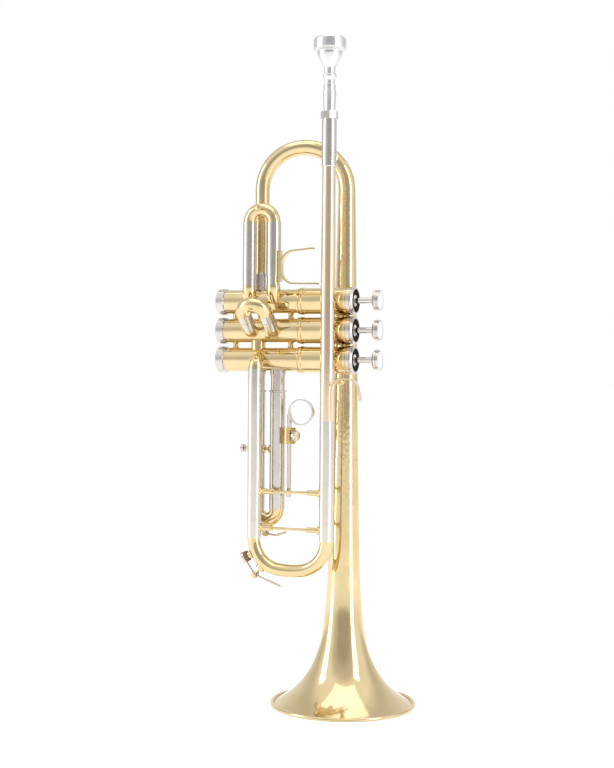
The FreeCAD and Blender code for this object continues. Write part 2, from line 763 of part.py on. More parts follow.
def valve_3_elbow():
    """Elbow from valve 3 into the lower outer sleeve."""
    bend = valve_axis(2, LOWER_LEG_X).z - LOWER_SLEEVE_TOP
    corner = V(LOWER_LEG_X, LEADPIPE_Y, VALVE_Z[2])
    points = [valve_axis(2, LOWER_LEG_X), corner, lower_leg_at(LOWER_SLEEVE_TOP)]
    elbow = bent_tube(points, [bend], TUBE_RADIUS - 0.1, TUBE_RADIUS - TUBE_WALL)
    return elbow.cut(casing_envelope(2))


def brace_between(left, right, left_radius, right_radius, collar_length, flange):
    """Turned brace between two round tubes: flanges, end sleeves and a thin rod."""
    direction = (right - left).normalize()
    length = (right - left).Length
    start = left_radius * 0.7
    end = length - right_radius * 0.7
    profile = [
        (start, 0),
        (start, flange),
        (left_radius + 0.9, flange),
        (left_radius + 1.4, BRACE_SLEEVE_RADIUS),
        (left_radius + collar_length, BRACE_SLEEVE_RADIUS),
        (left_radius + collar_length, BRACE_ROD_RADIUS),
        (length - right_radius - collar_length, BRACE_ROD_RADIUS),
        (length - right_radius - collar_length, BRACE_SLEEVE_RADIUS),
        (length - right_radius - 1.4, BRACE_SLEEVE_RADIUS),
        (length - right_radius - 0.9, flange),
        (end, flange),
        (end, 0),
    ]
    return turned(profile, left, direction)


def trimmed_by(shape, start, end, radius):
    """Cut a tube-shaped space out of a brace so that it saddles the tube."""
    return shape.cut(rod(start, end, radius))


def sleeve_brace():
    left = lower_leg_at(SLEEVE_BRACE_Z)
    right = leadpipe_at(SLEEVE_BRACE_Z)
    bar = brace_between(left, right, TUBE_RADIUS, TUBE_RADIUS, 10.5, 3.6)
    for place in (lower_leg_at, leadpipe_at):
        bar = trimmed_by(bar, place(SLEEVE_BRACE_Z - 10), place(SLEEVE_BRACE_Z + 10), TUBE_RADIUS)
    return bar


def leadpipe_brace():
    """Brace from the leadpipe across to the bell, just below valve 3."""
    left = leadpipe_at(LEADPIPE_BRACE_Z)
    right = V(0, 0, LEADPIPE_BRACE_Z)
    bell = bell_radius(LEADPIPE_BRACE_Z)
    bar = brace_between(left, right, TUBE_RADIUS, bell, 5.5, 3.4)
    low = LEADPIPE_BRACE_Z - SOLDER_TRIM
    high = LEADPIPE_BRACE_Z + SOLDER_TRIM
    bar = trimmed_by(bar, leadpipe_at(low), leadpipe_at(high), TUBE_RADIUS - 0.1)
    return bar.cut(bell_envelope(low, high))


def bell_envelope(low, high):
    """Solid cone the size of the bell's outside between two heights."""
    profile = [(low, 0), (low, bell_radius(low)), (high, bell_radius(high)), (high, 0)]
    return turned(profile, V(0, 0, 0), Z_DIR)


def receiver_brace():
    """Brace from the receiver back to the bell bow, hidden behind the receiver."""
    right = bow_point(RECEIVER_BRACE_ANGLE)
    left = leadpipe_at(right.z)
    bar = brace_between(left, right, TUBE_RADIUS, BELL_TAIL_RADIUS, 5.0, 3.2)
    bar = trimmed_by(bar, leadpipe_at(LEADPIPE_TOP + 1), leadpipe_at(RECEIVER_TOP), TUBE_RADIUS)
    return bar.cut(bow_core(0.0))


def braces():
    return together([sleeve_brace(), leadpipe_brace(), receiver_brace()])


def pinky_hook():
    """Finger hook on the leadpipe: a long foot and a round hook that opens downwards."""
    foot_x = 3.0
    top_z = 274.0
    tip_x = 27.8
    radius = 10.2
    points = [
        V(foot_x, HOOK_Y, 240.0),
        V(foot_x, HOOK_Y, top_z),
        V(tip_x - 3.0, HOOK_Y, top_z),
        V(tip_x, HOOK_Y, 257.5),
    ]
    hook = bent_strap(points, [radius, radius - 0.6], 1.4, 4.2, Y_DIR)
    tip = rod(V(tip_x, HOOK_Y - 2.1, 257.5), V(tip_x, HOOK_Y + 2.1, 257.5), 1.1)
    pipe = rod(leadpipe_at(230), leadpipe_at(290), TUBE_RADIUS)
    return hook.fuse(tip).cut(pipe)


# ---------------------------------------------------------------- tuning slide

def inner_leg(place, sleeve_end, ferrule_end, reach):
    """Inner slide leg with the ferrule that shows below the outer sleeve."""
    inner = SLIDE_INNER_RADIUS
    bore = inner - INNER_TUBE_WALL
    profile = [
        (ferrule_end, bore),
        (ferrule_end, TUBE_RADIUS),
        (sleeve_end - 0.15, TUBE_RADIUS),
        (sleeve_end - 0.15, inner),
        (reach, inner),
        (reach, bore),
    ]
    return turned(profile, place(0), Z_DIR)


def tuning_slide_legs():
    upper = inner_leg(leadpipe_at, UPPER_SLEEVE_BOTTOM, TUNING_FERRULE_BOTTOM, 232.0)
    lower = inner_leg(lower_leg_at, LOWER_SLEEVE_BOTTOM, TUNING_FERRULE_BOTTOM, 262.0)
    return together([upper, lower])


def tuning_bow_points():
    """Legs, two corners and a low middle, so that the bottom of the bow is a shallow curve."""
    middle = (lower_leg_at(TUNING_BOW_CORNER_Z) + leadpipe_at(TUNING_BOW_CORNER_Z)) / 2
    return [
        lower_leg_at(TUNING_FERRULE_BOTTOM),
        lower_leg_at(TUNING_BOW_CORNER_Z),
        middle - Z_DIR * TUNING_BOW_SAG,
        leadpipe_at(TUNING_BOW_CORNER_Z),
        leadpipe_at(TUNING_FERRULE_BOTTOM),
    ]


def tuning_slide_bow():
    return bent_tube(tuning_bow_points(), TUNING_BOW_RADII, TUNING_BOW_RADIUS, TUNING_BOW_RADIUS - TUBE_WALL)


def tuning_slide_brace():
    left = lower_leg_at(TUNING_BRACE_Z)
    right = leadpipe_at(TUNING_BRACE_Z)
    bar = brace_between(left, right, TUBE_RADIUS, TUBE_RADIUS, 10.5, 3.6)
    for place in (lower_leg_at, leadpipe_at):
        bar = trimmed_by(bar, place(TUNING_BRACE_Z - 8), place(TUNING_BRACE_Z + 8), TUBE_RADIUS)
    return bar


# The tuning slide's water key sits on the outside of the bow's lower left quarter.

def bow_corner():
    """Centre of the tuning bow's corner arc on the valve side."""
    half_width = (LEADPIPE_X - LOWER_LEG_X) / 2
    slope = math.atan(TUNING_BOW_SAG / half_width)
    rise = TUNING_BOW_CORNER_RADIUS * math.tan((math.pi / 2 - slope) / 2)
    return lower_leg_at(TUNING_BOW_CORNER_Z + rise) + X_DIR * TUNING_BOW_CORNER_RADIUS


def bow_outward(degrees_below):
    """Unit vector out of the bow's quarter turn, measured downwards from -X."""
    angle = math.radians(degrees_below)
    return V(-math.cos(angle), 0, -math.sin(angle))


def bow_surface(degrees_below, height):
    reach = TUNING_BOW_CORNER_RADIUS + TUNING_BOW_RADIUS + height
    return bow_corner() + bow_outward(degrees_below) * reach


def key_pivot():
    return bow_surface(SADDLE_ANGLE, PIVOT_HEIGHT)


def tuning_key_saddle():
    """Water nipple, saddle posts and pivot screw soldered to the bow."""
    nipple_base = bow_surface(NIPPLE_ANGLE, -2.0)
    nipple_top = bow_surface(NIPPLE_ANGLE, NIPPLE_HEIGHT)
    nipple = rod(nipple_base, nipple_top, NIPPLE_RADIUS)
    drain = rod(nipple_base, nipple_top, 1.2)
    pivot = key_pivot()
    post = rod(bow_surface(SADDLE_ANGLE, -3.0), bow_surface(SADDLE_ANGLE, 1.2), 4.2)
    for side in (-1, 1):
        inner_face = pivot + Y_DIR * (side * SADDLE_GAP)
        outer_face = inner_face + Y_DIR * (side * 1.3)
        ear = rod(inner_face, outer_face, 2.3)
        web_start = bow_surface(SADDLE_ANGLE, 0.6) + Y_DIR * (side * (SADDLE_GAP + 0.65))
        web = rod(web_start, pivot + Y_DIR * (side * (SADDLE_GAP + 0.65)), 0.65)
        post = post.fuse(ear).fuse(web)
    pin = rod(pivot - Y_DIR * (SADDLE_GAP + 2.0), pivot + Y_DIR * (SADDLE_GAP + 2.0), PIVOT_RADIUS)
    head = rod(pivot - Y_DIR * (SADDLE_GAP + 2.6), pivot - Y_DIR * (SADDLE_GAP + 1.3), 1.9)
    post = post.fuse(pin).fuse(head)
    pipe = bent_rod(tuning_bow_points(), TUNING_BOW_RADII, TUNING_BOW_RADIUS)
    return together([solid.cut(pipe) for solid in (nipple.cut(drain), post)])


def tuning_key_lever():
    """Key lever: the cup over the nipple, the pivot barrel and the finger end."""
    outward = bow_outward(NIPPLE_ANGLE)
    cup_base = bow_surface(NIPPLE_ANGLE, NIPPLE_HEIGHT + CORK_GAP)
    cup_top = cup_base + outward * (KEY_CORK_HEIGHT + 0.9)
    cup = rod(cup_base + outward * (KEY_CORK_HEIGHT - 1.6), cup_top, KEY_CUP_RADIUS)
    pocket = rod(cup_base, cup_base + outward * KEY_CORK_HEIGHT, KEY_CUP_RADIUS - 0.5)
    pivot = key_pivot()
    barrel = rod(pivot - Y_DIR * (SADDLE_GAP - 0.35), pivot + Y_DIR * (SADDLE_GAP - 0.35), 1.9)
    arm = rod(cup_base + outward * (KEY_CORK_HEIGHT + 0.3), pivot, 1.0)
    along = V(math.cos(math.radians(LEVER_DROP)), 0, -math.sin(math.radians(LEVER_DROP)))
    middle = pivot + along * 12.0
    tip = pivot + along * 23.5
    finger = ball_ended(pivot, middle, 1.1).fuse(ball_ended(middle, tip, 1.25))
    lever = cup.fuse([arm, barrel, finger])
    bore = rod(pivot - Y_DIR * 6, pivot + Y_DIR * 6, PIVOT_RADIUS + SCREW_CLEARANCE)
    return lever.cut(bore).cut(pocket)


def tuning_key_cork():
    outward = bow_outward(NIPPLE_ANGLE)
    start = bow_surface(NIPPLE_ANGLE, NIPPLE_HEIGHT + CORK_GAP)
    return rod(start, start + outward * KEY_CORK_HEIGHT, KEY_CUP_RADIUS - 0.5)


# ---------------------------------------------------------------- first valve slide

def slide_1_at(x, z):
    return V(x, SLIDE_1_Y, z)


def slide_1_knuckles():
    """Elbows from the front of valve 1 up into the first slide."""
    solids = []
    for x, outer in ((SLIDE_1_LEFT_X, SLIDE_1_LEFT_RADIUS), (SLIDE_1_RIGHT_X, TUBE_RADIUS - 0.2)):
        corner = slide_1_at(x, VALVE_Z[0])
        bend = abs(SLIDE_1_Y - VALVE_Y) - 0.01
        points = [valve_axis(0, x), corner, slide_1_at(x, SLIDE_1_KNUCKLE_TOP)]
        elbow = bent_tube(points, [bend], outer, outer - TUBE_WALL - 0.4)
        solids.append(elbow.cut(casing_envelope(0)))
    return together(solids)


def slide_1_fixed_tubes():
    """Left outer sleeve, and the right inner tube that the moving tube runs on."""
    left = hollow_rod(
        slide_1_at(SLIDE_1_LEFT_X, SLIDE_1_KNUCKLE_TOP), slide_1_at(SLIDE_1_LEFT_X, SLIDE_1_LEFT_SLEEVE_TOP),
        SLIDE_1_LEFT_RADIUS, SLIDE_1_BORE + SLIDE_CLEARANCE)
    right = hollow_rod(
        slide_1_at(SLIDE_1_RIGHT_X, SLIDE_1_KNUCKLE_TOP), slide_1_at(SLIDE_1_RIGHT_X, SLIDE_1_CROOK_Z - 6.0),
        SLIDE_INNER_RADIUS, SLIDE_1_BORE - INNER_TUBE_WALL)
    return together([left, right])


def slide_1_legs():
    """Left inner leg with its ferrule, and the right outer tube."""
    profile = [
        (SLIDE_1_KNUCKLE_TOP + 8.0, SLIDE_1_BORE - INNER_TUBE_WALL),
        (SLIDE_1_KNUCKLE_TOP + 8.0, SLIDE_1_BORE),
        (SLIDE_1_LEFT_SLEEVE_TOP + 0.15, SLIDE_1_BORE),
        (SLIDE_1_LEFT_SLEEVE_TOP + 0.15, SLIDE_1_LEFT_RADIUS),
        (SLIDE_1_CROOK_Z, SLIDE_1_LEFT_RADIUS),
        (SLIDE_1_CROOK_Z, SLIDE_1_BORE - INNER_TUBE_WALL),
    ]
    left = turned(profile, slide_1_at(SLIDE_1_LEFT_X, 0), Z_DIR)
    top = slide_1_at(SLIDE_1_RIGHT_X, SLIDE_1_CROOK_Z)
    bottom = slide_1_at(SLIDE_1_RIGHT_X, SLIDE_1_RIGHT_TUBE_BOTTOM)
    right = sleeve(top, bottom, 1.2)
    return together([left, right])


def slide_1_crook():
    """Half-turn crook with the small pull knob on its crown."""
    left = slide_1_at(SLIDE_1_LEFT_X, SLIDE_1_CROOK_Z)
    right = slide_1_at(SLIDE_1_RIGHT_X, SLIDE_1_CROOK_Z)
    crook = half_turn(left, right, Z_DIR, SLIDE_1_CROOK_RADIUS, SLIDE_1_CROOK_RADIUS - TUBE_WALL)
    half = (SLIDE_1_RIGHT_X - SLIDE_1_LEFT_X) / 2
    crown = slide_1_at(SLIDE_1_LEFT_X + half, SLIDE_1_CROOK_Z + half)
    inside = half_turn_core(left, right, Z_DIR, SLIDE_1_CROOK_RADIUS - 0.1)
    return crook.fuse(pull_knob(crown, V(0, -1, 0), SLIDE_1_CROOK_RADIUS).cut(inside))


def pull_knob(crown, direction, tube_radius):
    """Small turned knob that stands on a crook."""
    profile = [
        (tube_radius - 1.0, 0),
        (tube_radius - 1.0, 1.5),
        (tube_radius + 1.0, 1.1),
        (tube_radius + 2.0, 1.2),
        (tube_radius + 2.6, 2.1),
        (tube_radius + 3.8, 2.4),
        (tube_radius + 5.0, 1.9),
        (tube_radius + 5.5, 0),
    ]
    return turned(profile, crown, direction)


def thumb_hook():
    """U-shaped thumb saddle soldered to the right leg, open towards the buttons."""
    left_x = -44.2
    low_z = 352.6
    high_z = 380.0
    corner = 12.2
    points = [
        V(-12.0, THUMB_Y, low_z - 0.6),
        V(left_x, THUMB_Y, low_z),
        V(left_x, THUMB_Y, high_z - 1.5),
        V(-16.0, THUMB_Y, high_z + 1.0),
    ]
    band = bent_strap(points, [corner, corner], 1.4, 5.5, Y_DIR)
    foot_x = left_x - 1.3
    foot = Part.makeBox(2.2, 5.0, 26.0, V(foot_x - 1.0, THUMB_Y - 2.2, 354.0))
    tube = rod(slide_1_at(SLIDE_1_RIGHT_X, 340), slide_1_at(SLIDE_1_RIGHT_X, 400), TUBE_RADIUS + 0.15)
    return band.fuse(foot).cut(tube)


# ---------------------------------------------------------------- second valve slide

def slide_2_direction():
    tilt = math.radians(SLIDE_2_TILT)
    return V(0, -math.cos(tilt), math.sin(tilt))


def slide_2_base(x):
    """Point where a knuckle of the second slide ends and its leg begins."""
    tilt = math.radians(SLIDE_2_TILT)
    y = SLIDE_2_BEND_START_Y - SLIDE_2_BEND_RADIUS * math.sin(tilt)
    z = VALVE_2_Z + SLIDE_2_BEND_RADIUS * (1 - math.cos(tilt))
    return V(x, y, z)


def slide_2_knuckles():
    solids = []
    reach = SLIDE_2_BEND_RADIUS * math.tan(math.radians(SLIDE_2_TILT) / 2)
    for x in SLIDE_2_X:
        corner = V(x, SLIDE_2_BEND_START_Y - reach, VALVE_2_Z)
        points = [valve_axis(1, x), corner, slide_2_base(x)]
        elbow = bent_tube(points, [SLIDE_2_BEND_RADIUS - 0.01], TUBE_RADIUS - 0.1, TUBE_RADIUS - TUBE_WALL)
        solids.append(elbow.cut(casing_envelope(1)))
    return together(solids)


def slide_2_sleeves():
    solids = []
    for x in SLIDE_2_X:
        start = slide_2_base(x)
        solids.append(sleeve(start, start + slide_2_direction() * SLIDE_2_SLEEVE_LENGTH, 0.9))
    return together(solids)


def slide_2_legs():
    solids = []
    inner = SLIDE_INNER_RADIUS
    full = SLIDE_2_SLEEVE_LENGTH + SLIDE_2_FERRULE_LENGTH
    profile = [
        (0.8, inner - INNER_TUBE_WALL),
        (0.8, inner),
        (SLIDE_2_SLEEVE_LENGTH + 0.1, inner),
        (SLIDE_2_SLEEVE_LENGTH + 0.1, TUBE_RADIUS),
        (full, TUBE_RADIUS),
        (full, inner - INNER_TUBE_WALL),
    ]
    for x in SLIDE_2_X:
        solids.append(turned(profile, slide_2_base(x), slide_2_direction()))
    return together(solids)


def slide_2_crook():
    full = SLIDE_2_SLEEVE_LENGTH + SLIDE_2_FERRULE_LENGTH
    left = slide_2_base(SLIDE_2_X[0]) + slide_2_direction() * full
    right = slide_2_base(SLIDE_2_X[1]) + slide_2_direction() * full
    outer = TUBE_RADIUS - 0.1
    crook = half_turn(left, right, slide_2_direction(), outer, outer - TUBE_WALL)
    crown = (left + right) / 2 + slide_2_direction() * SLIDE_2_HALF_SPACING
    tilt = math.radians(SLIDE_2_TILT)
    down = V(0, -math.sin(tilt), -math.cos(tilt))
    inside = half_turn_core(left, right, slide_2_direction(), outer - 0.1)
    return crook.fuse(pull_knob(crown, down, outer).cut(inside))


# ---------------------------------------------------------------- third valve slide

def slide_3_at(x, z):
    return V(x, SLIDE_3_Y, z)


def slide_3_fixed_tubes():
    """Inner tubes soldered into valve 3; the moving tubes run on them."""
    solids = []
    for x in SLIDE_3_X:
        tube = hollow_rod(
            slide_3_at(x, SLIDE_3_CROOK_Z + 12.0), slide_3_at(x, VALVE_Z[2]),
            SLIDE_3_INNER_RADIUS, SLIDE_3_INNER_RADIUS - INNER_TUBE_WALL)
        collar = hollow_rod(
            slide_3_at(x, VALVE_Z[2] - 12.6), slide_3_at(x, VALVE_Z[2]),
            SLIDE_3_TUBE_RADIUS, SLIDE_3_INNER_RADIUS - INNER_TUBE_WALL)
        solids.append(tube.fuse(collar).cut(casing_envelope(2)))
    return together(solids)


def slide_3_legs():
    """Moving outer tubes, each with a bead ring at its open end."""
    solids = []
    inner = SLIDE_3_INNER_RADIUS + SLIDE_CLEARANCE
    bead = SLIDE_3_TUBE_RADIUS + 0.7
    profile = [
        (SLIDE_3_CROOK_Z, inner),
        (SLIDE_3_CROOK_Z, SLIDE_3_TUBE_RADIUS),
        (SLIDE_3_TUBE_TOP - 2.0, SLIDE_3_TUBE_RADIUS),
        (SLIDE_3_TUBE_TOP - 1.6, bead),
        (SLIDE_3_TUBE_TOP - 0.4, bead),
        (SLIDE_3_TUBE_TOP, bead - 0.4),
        (SLIDE_3_TUBE_TOP, inner),
    ]
    for x in SLIDE_3_X:
        solids.append(turned(profile, slide_3_at(x, 0), Z_DIR))
    return together(solids)


def slide_3_crook():
    left = slide_3_at(SLIDE_3_LEFT_X, SLIDE_3_CROOK_Z)
    right = slide_3_at(SLIDE_3_RIGHT_X, SLIDE_3_CROOK_Z)
    return half_turn(left, right, Z_DIR * -1, SLIDE_3_CROOK_RADIUS, SLIDE_3_CROOK_RADIUS - TUBE_WALL)


def slide_3_tube_space(x, low, high):
    """Space taken by one of the third slide's tubes, to trim what is soldered to it."""
    return rod(slide_3_at(x, low), slide_3_at(x, high), SLIDE_3_TUBE_RADIUS)


def slide_3_brace():
    """Short bar between the third slide's two tubes."""
    left = slide_3_at(SLIDE_3_LEFT_X, SLIDE_3_BRACE_Z)
    right = slide_3_at(SLIDE_3_RIGHT_X, SLIDE_3_BRACE_Z)
    length = (right - left).Length
    reach = SLIDE_3_TUBE_RADIUS
    profile = [
        (reach - 1.5, 0),
        (reach - 1.5, 3.6),
        (reach + 0.6, 3.6),
        (reach + 1.0, 1.4),
        (length - reach - 1.0, 1.4),
        (length - reach - 0.6, 3.6),
        (length - reach + 1.5, 3.6),
        (length - reach + 1.5, 0),
    ]
    bar = turned(profile, left, X_DIR)
    for x in SLIDE_3_X:
        bar = bar.cut(slide_3_tube_space(x, SLIDE_3_BRACE_Z - SOLDER_TRIM, SLIDE_3_BRACE_Z + SOLDER_TRIM))
    return bar


def stop_screw_post():
    """Threaded post on the left tube that takes the stop screw."""
    outside = SLIDE_3_LEFT_X - SLIDE_3_TUBE_RADIUS
    post = rod(slide_3_at(outside + 1.5, SLIDE_3_BRACE_Z), slide_3_at(outside - 3.0, SLIDE_3_BRACE_Z), 2.6)
    tube = slide_3_tube_space(SLIDE_3_LEFT_X, SLIDE_3_BRACE_Z - SOLDER_TRIM, SLIDE_3_BRACE_Z + SOLDER_TRIM)
    bore_start = slide_3_at(outside + 2, SLIDE_3_BRACE_Z)
    bore_end = slide_3_at(outside - 5, SLIDE_3_BRACE_Z)
    bore = rod(bore_start, bore_end, STOP_SCREW_RADIUS + SCREW_CLEARANCE)
    return post.cut(tube).cut(bore)


def clamp_direction():
    towards = V(ROD_X - SLIDE_3_RIGHT_X, ROD_Y - SLIDE_3_Y, 0)
    return towards.normalize()


def ring_clamp():
    """Clamp block on the right tube: it holds the ring's rod."""
    low = CLAMP_BOTTOM - SOLDER_TRIM
    high = CLAMP_TOP + SOLDER_TRIM
    tube_centre = slide_3_at(SLIDE_3_RIGHT_X, CLAMP_BOTTOM)
    rod_centre = V(ROD_X, ROD_Y, CLAMP_BOTTOM)
    towards = clamp_direction()
    across = V(-towards.y, towards.x, 0) * 3.9
    start = tube_centre + towards * (SLIDE_3_TUBE_RADIUS - 3.5)
    end = rod_centre + towards * (ROD_RADIUS + 1.5)
    corners = [start + across, end + across, end - across, start - across]
    block = Part.Face(Part.makePolygon(corners + [corners[0]])).extrude(V(0, 0, CLAMP_TOP - CLAMP_BOTTOM))
    block = block.cut(slide_3_tube_space(SLIDE_3_RIGHT_X, low, high))
    block = block.cut(rod(V(ROD_X, ROD_Y, low), V(ROD_X, ROD_Y, high), ROD_RADIUS + 0.07))
    screw_centre = V(ROD_X, ROD_Y, (CLAMP_TOP + CLAMP_BOTTOM) / 2)
    bore = rod(screw_centre, screw_centre + towards * 12, CLAMP_SCREW_RADIUS + SCREW_CLEARANCE)
    return block.cut(bore)


def thumb_screw(start, direction, shank_radius, shank, neck, head_radius, head):
    """Turned screw with a round grooved head."""
    profile = [
        (0, 0),
        (0, shank_radius),
        (shank, shank_radius),
        (shank, shank_radius + 0.5),
        (shank + neck, shank_radius + 0.5),
        (shank + neck + 0.4, head_radius),
        (shank + neck + head - 0.5, head_radius),
        (shank + neck + head, head_radius - 0.6),
        (shank + neck + head, 0),
    ]
    return turned(profile, start, direction)


def clamp_screw():
    centre = V(ROD_X, ROD_Y, (CLAMP_TOP + CLAMP_BOTTOM) / 2)
    start = centre + clamp_direction() * (ROD_RADIUS + 0.35)
    return thumb_screw(start, clamp_direction(), CLAMP_SCREW_RADIUS, 2.0, 1.4, 4.7, 2.6)


def stop_screw():
    outside = SLIDE_3_LEFT_X - SLIDE_3_TUBE_RADIUS
    start = slide_3_at(outside - 0.4, SLIDE_3_BRACE_Z)
    return thumb_screw(start, X_DIR * -1, STOP_SCREW_RADIUS, 3.6, 0.8, 3.7, 3.4)


def finger_ring():
    """Ring and the long rod that slides in the clamp."""
    centre = V(ROD_X + RING_RADIUS - 0.6, ROD_Y, RING_CENTRE_Z)
    start = centre - Y_DIR * (RING_WIDTH / 2)
    end = centre + Y_DIR * (RING_WIDTH / 2)
    band = rod(start, end, RING_RADIUS).cut(rod(start, end, RING_RADIUS - RING_THICKNESS))
    stem = rod(V(ROD_X, ROD_Y, ROD_BOTTOM), V(ROD_X, ROD_Y, RING_CENTRE_Z - 2.0), ROD_RADIUS)
    stem = stem.cut(rod(start - Y_DIR, end + Y_DIR, RING_RADIUS - RING_THICKNESS))
    groove = hollow_rod(V(ROD_X, ROD_Y, 182.5), V(ROD_X, ROD_Y, 185.0), ROD_RADIUS + 1, ROD_RADIUS - 0.5)
    return band.fuse(stem).cut(groove)


# The third slide's water key is under its crook and points to the buttons.

def crook_3_centre():
    return slide_3_at((SLIDE_3_LEFT_X + SLIDE_3_RIGHT_X) / 2, SLIDE_3_CROOK_Z)


def crook_3_outward():
    """Direction of the third slide's nipple: down, leaning away from the buttons."""
    angle = math.radians(KEY_3_NIPPLE_ANGLE)
    return V(-math.sin(angle), 0, -math.cos(angle))


def crook_3_surface(height):
    half = (SLIDE_3_RIGHT_X - SLIDE_3_LEFT_X) / 2
    return crook_3_centre() + crook_3_outward() * (half + SLIDE_3_CROOK_RADIUS + height)


def key_3_pivot():
    return crook_3_centre() + KEY_3_PIVOT


def slide_3_key_saddle():
    """Nipple under the crook and the two ears with the pivot screw."""
    nipple = hollow_rod(crook_3_surface(-1.5), crook_3_surface(KEY_3_NIPPLE_HEIGHT), 2.2, 1.1)
    pivot = key_3_pivot()
    post = rod(pivot + V(0, 0, 7.8), pivot + V(0, 0, 3.6), KEY_3_POST_RADIUS)
    for side in (-1, 1):
        inner_face = pivot + Y_DIR * (side * KEY_3_GAP)
        outer_face = pivot + Y_DIR * (side * (KEY_3_GAP + 1.2))
        ear = rod(inner_face, outer_face, 2.0)
        web_foot = pivot + Y_DIR * (side * (KEY_3_GAP + 0.6))
        web = rod(web_foot, web_foot + V(0, 0, 4.6), 0.6)
        post = post.fuse(ear).fuse(web)
    pin = rod(pivot - Y_DIR * (KEY_3_GAP + 1.7), pivot + Y_DIR * (KEY_3_GAP + 1.7), KEY_3_PIN_RADIUS)
    post = post.fuse(pin)
    left = slide_3_at(SLIDE_3_LEFT_X, SLIDE_3_CROOK_Z)
    right = slide_3_at(SLIDE_3_RIGHT_X, SLIDE_3_CROOK_Z)
    inside = half_turn_core(left, right, Z_DIR * -1, SLIDE_3_CROOK_RADIUS)
    return together([solid.cut(inside) for solid in (nipple, post)])


def slide_3_key_lever():
    """Lever with a small cup under the nipple and a curved finger end."""
    cork_start = crook_3_surface(KEY_3_NIPPLE_HEIGHT + CORK_GAP)
    outward = crook_3_outward()
    cup_end = cork_start + outward * (KEY_3_CORK_HEIGHT + 0.7)
    cup = rod(cork_start + outward * (KEY_3_CORK_HEIGHT - 1.2), cup_end, KEY_3_CUP_RADIUS)
    pocket = rod(cork_start, cork_start + outward * KEY_3_CORK_HEIGHT, KEY_3_CUP_RADIUS - 0.5)
    pivot = key_3_pivot()
    barrel = rod(pivot - Y_DIR * (KEY_3_GAP - 0.3), pivot + Y_DIR * (KEY_3_GAP - 0.3), 1.7)
    arm = rod(cork_start + outward * (KEY_3_CORK_HEIGHT + 0.2), pivot, 0.8)
    middle = pivot + V(9.5, 0, -1.2)
    tip = pivot + V(18.0, 0, 1.8)
    finger = ball_ended(pivot, middle, 1.0).fuse(ball_ended(middle, tip, 1.1))
    lever = cup.fuse([arm, barrel, finger])
    bore = rod(pivot - Y_DIR * 5, pivot + Y_DIR * 5, KEY_3_PIN_RADIUS + SCREW_CLEARANCE)
    return lever.cut(bore).cut(pocket)


def slide_3_key_cork():
    start = crook_3_surface(KEY_3_NIPPLE_HEIGHT + CORK_GAP)
    return rod(start, start + crook_3_outward() * KEY_3_CORK_HEIGHT, KEY_3_CUP_RADIUS - 0.5)


def torsion_spring(pivot, coil_radius, half_width, wire):
    """Small coil round a water key's pivot, modelled as two turns."""
    solids = []
    for side in (-1, 1):
        centre = pivot + Y_DIR * (side * half_width)
        solids.append(Part.makeTorus(coil_radius, wire, centre, Y_DIR))
    return together(solids)


# ---------------------------------------------------------------- mouthpiece

# Mouthpiece outlines as (height, radius), the height measured from the top of the rim.
CUP_OUTSIDE = [
    (0, 11.4), (-0.3, 12.4), (-1.4, 13.2), (-3.4, 13.4), (-8.6, 13.3), (-9.9, 12.6),
    (-10.8, 10.8), (-11.6, 10.2), (-13.6, 10.1), (-16.2, 9.3), (-19.0, 7.7), (-21.8, 5.9),
    (-24.2, 4.8), (-27.6, 4.5),
]
BEAD_AND_WAIST = [
    (-29.0, 4.6), (-30.0, 5.5), (-31.2, 5.7), (-32.4, 5.4), (-33.6, 4.5), (-36.4, 4.1), (-37.6, 4.1),
    (-38.2, 5.0), (-42.8, 5.0), (-44.0, 5.6),
]
THROAT_AND_CUP = [
    (-30.0, 1.85), (-20.5, 1.85), (-18.0, 3.6), (-15.0, 6.3), (-12.0, 7.7), (-8.0, 8.3), (-3.0, 8.7),
    (-1.2, 9.9), (-0.3, 10.6),
]
def mouthpiece():
    """Cup mouthpiece: tall rim, round cup, bead, step and tapered shank with a through bore."""
    def raised(outline):
        return [(MOUTHPIECE_TOP + height, radius) for height, radius in outline]
    shank = [
        (RECEIVER_COLLAR_TOP, SHANK_MOUTH_RADIUS),
        (MOUTHPIECE_SEAT, SHANK_SEAT_RADIUS),
        (MOUTHPIECE_SEAT, SHANK_END_BORE),
    ]
    outline = raised(CUP_OUTSIDE) + raised(BEAD_AND_WAIST) + shank + raised(THROAT_AND_CUP)
    return turned(outline, leadpipe_at(0), Z_DIR)


# ---------------------------------------------------------------- writing the parts

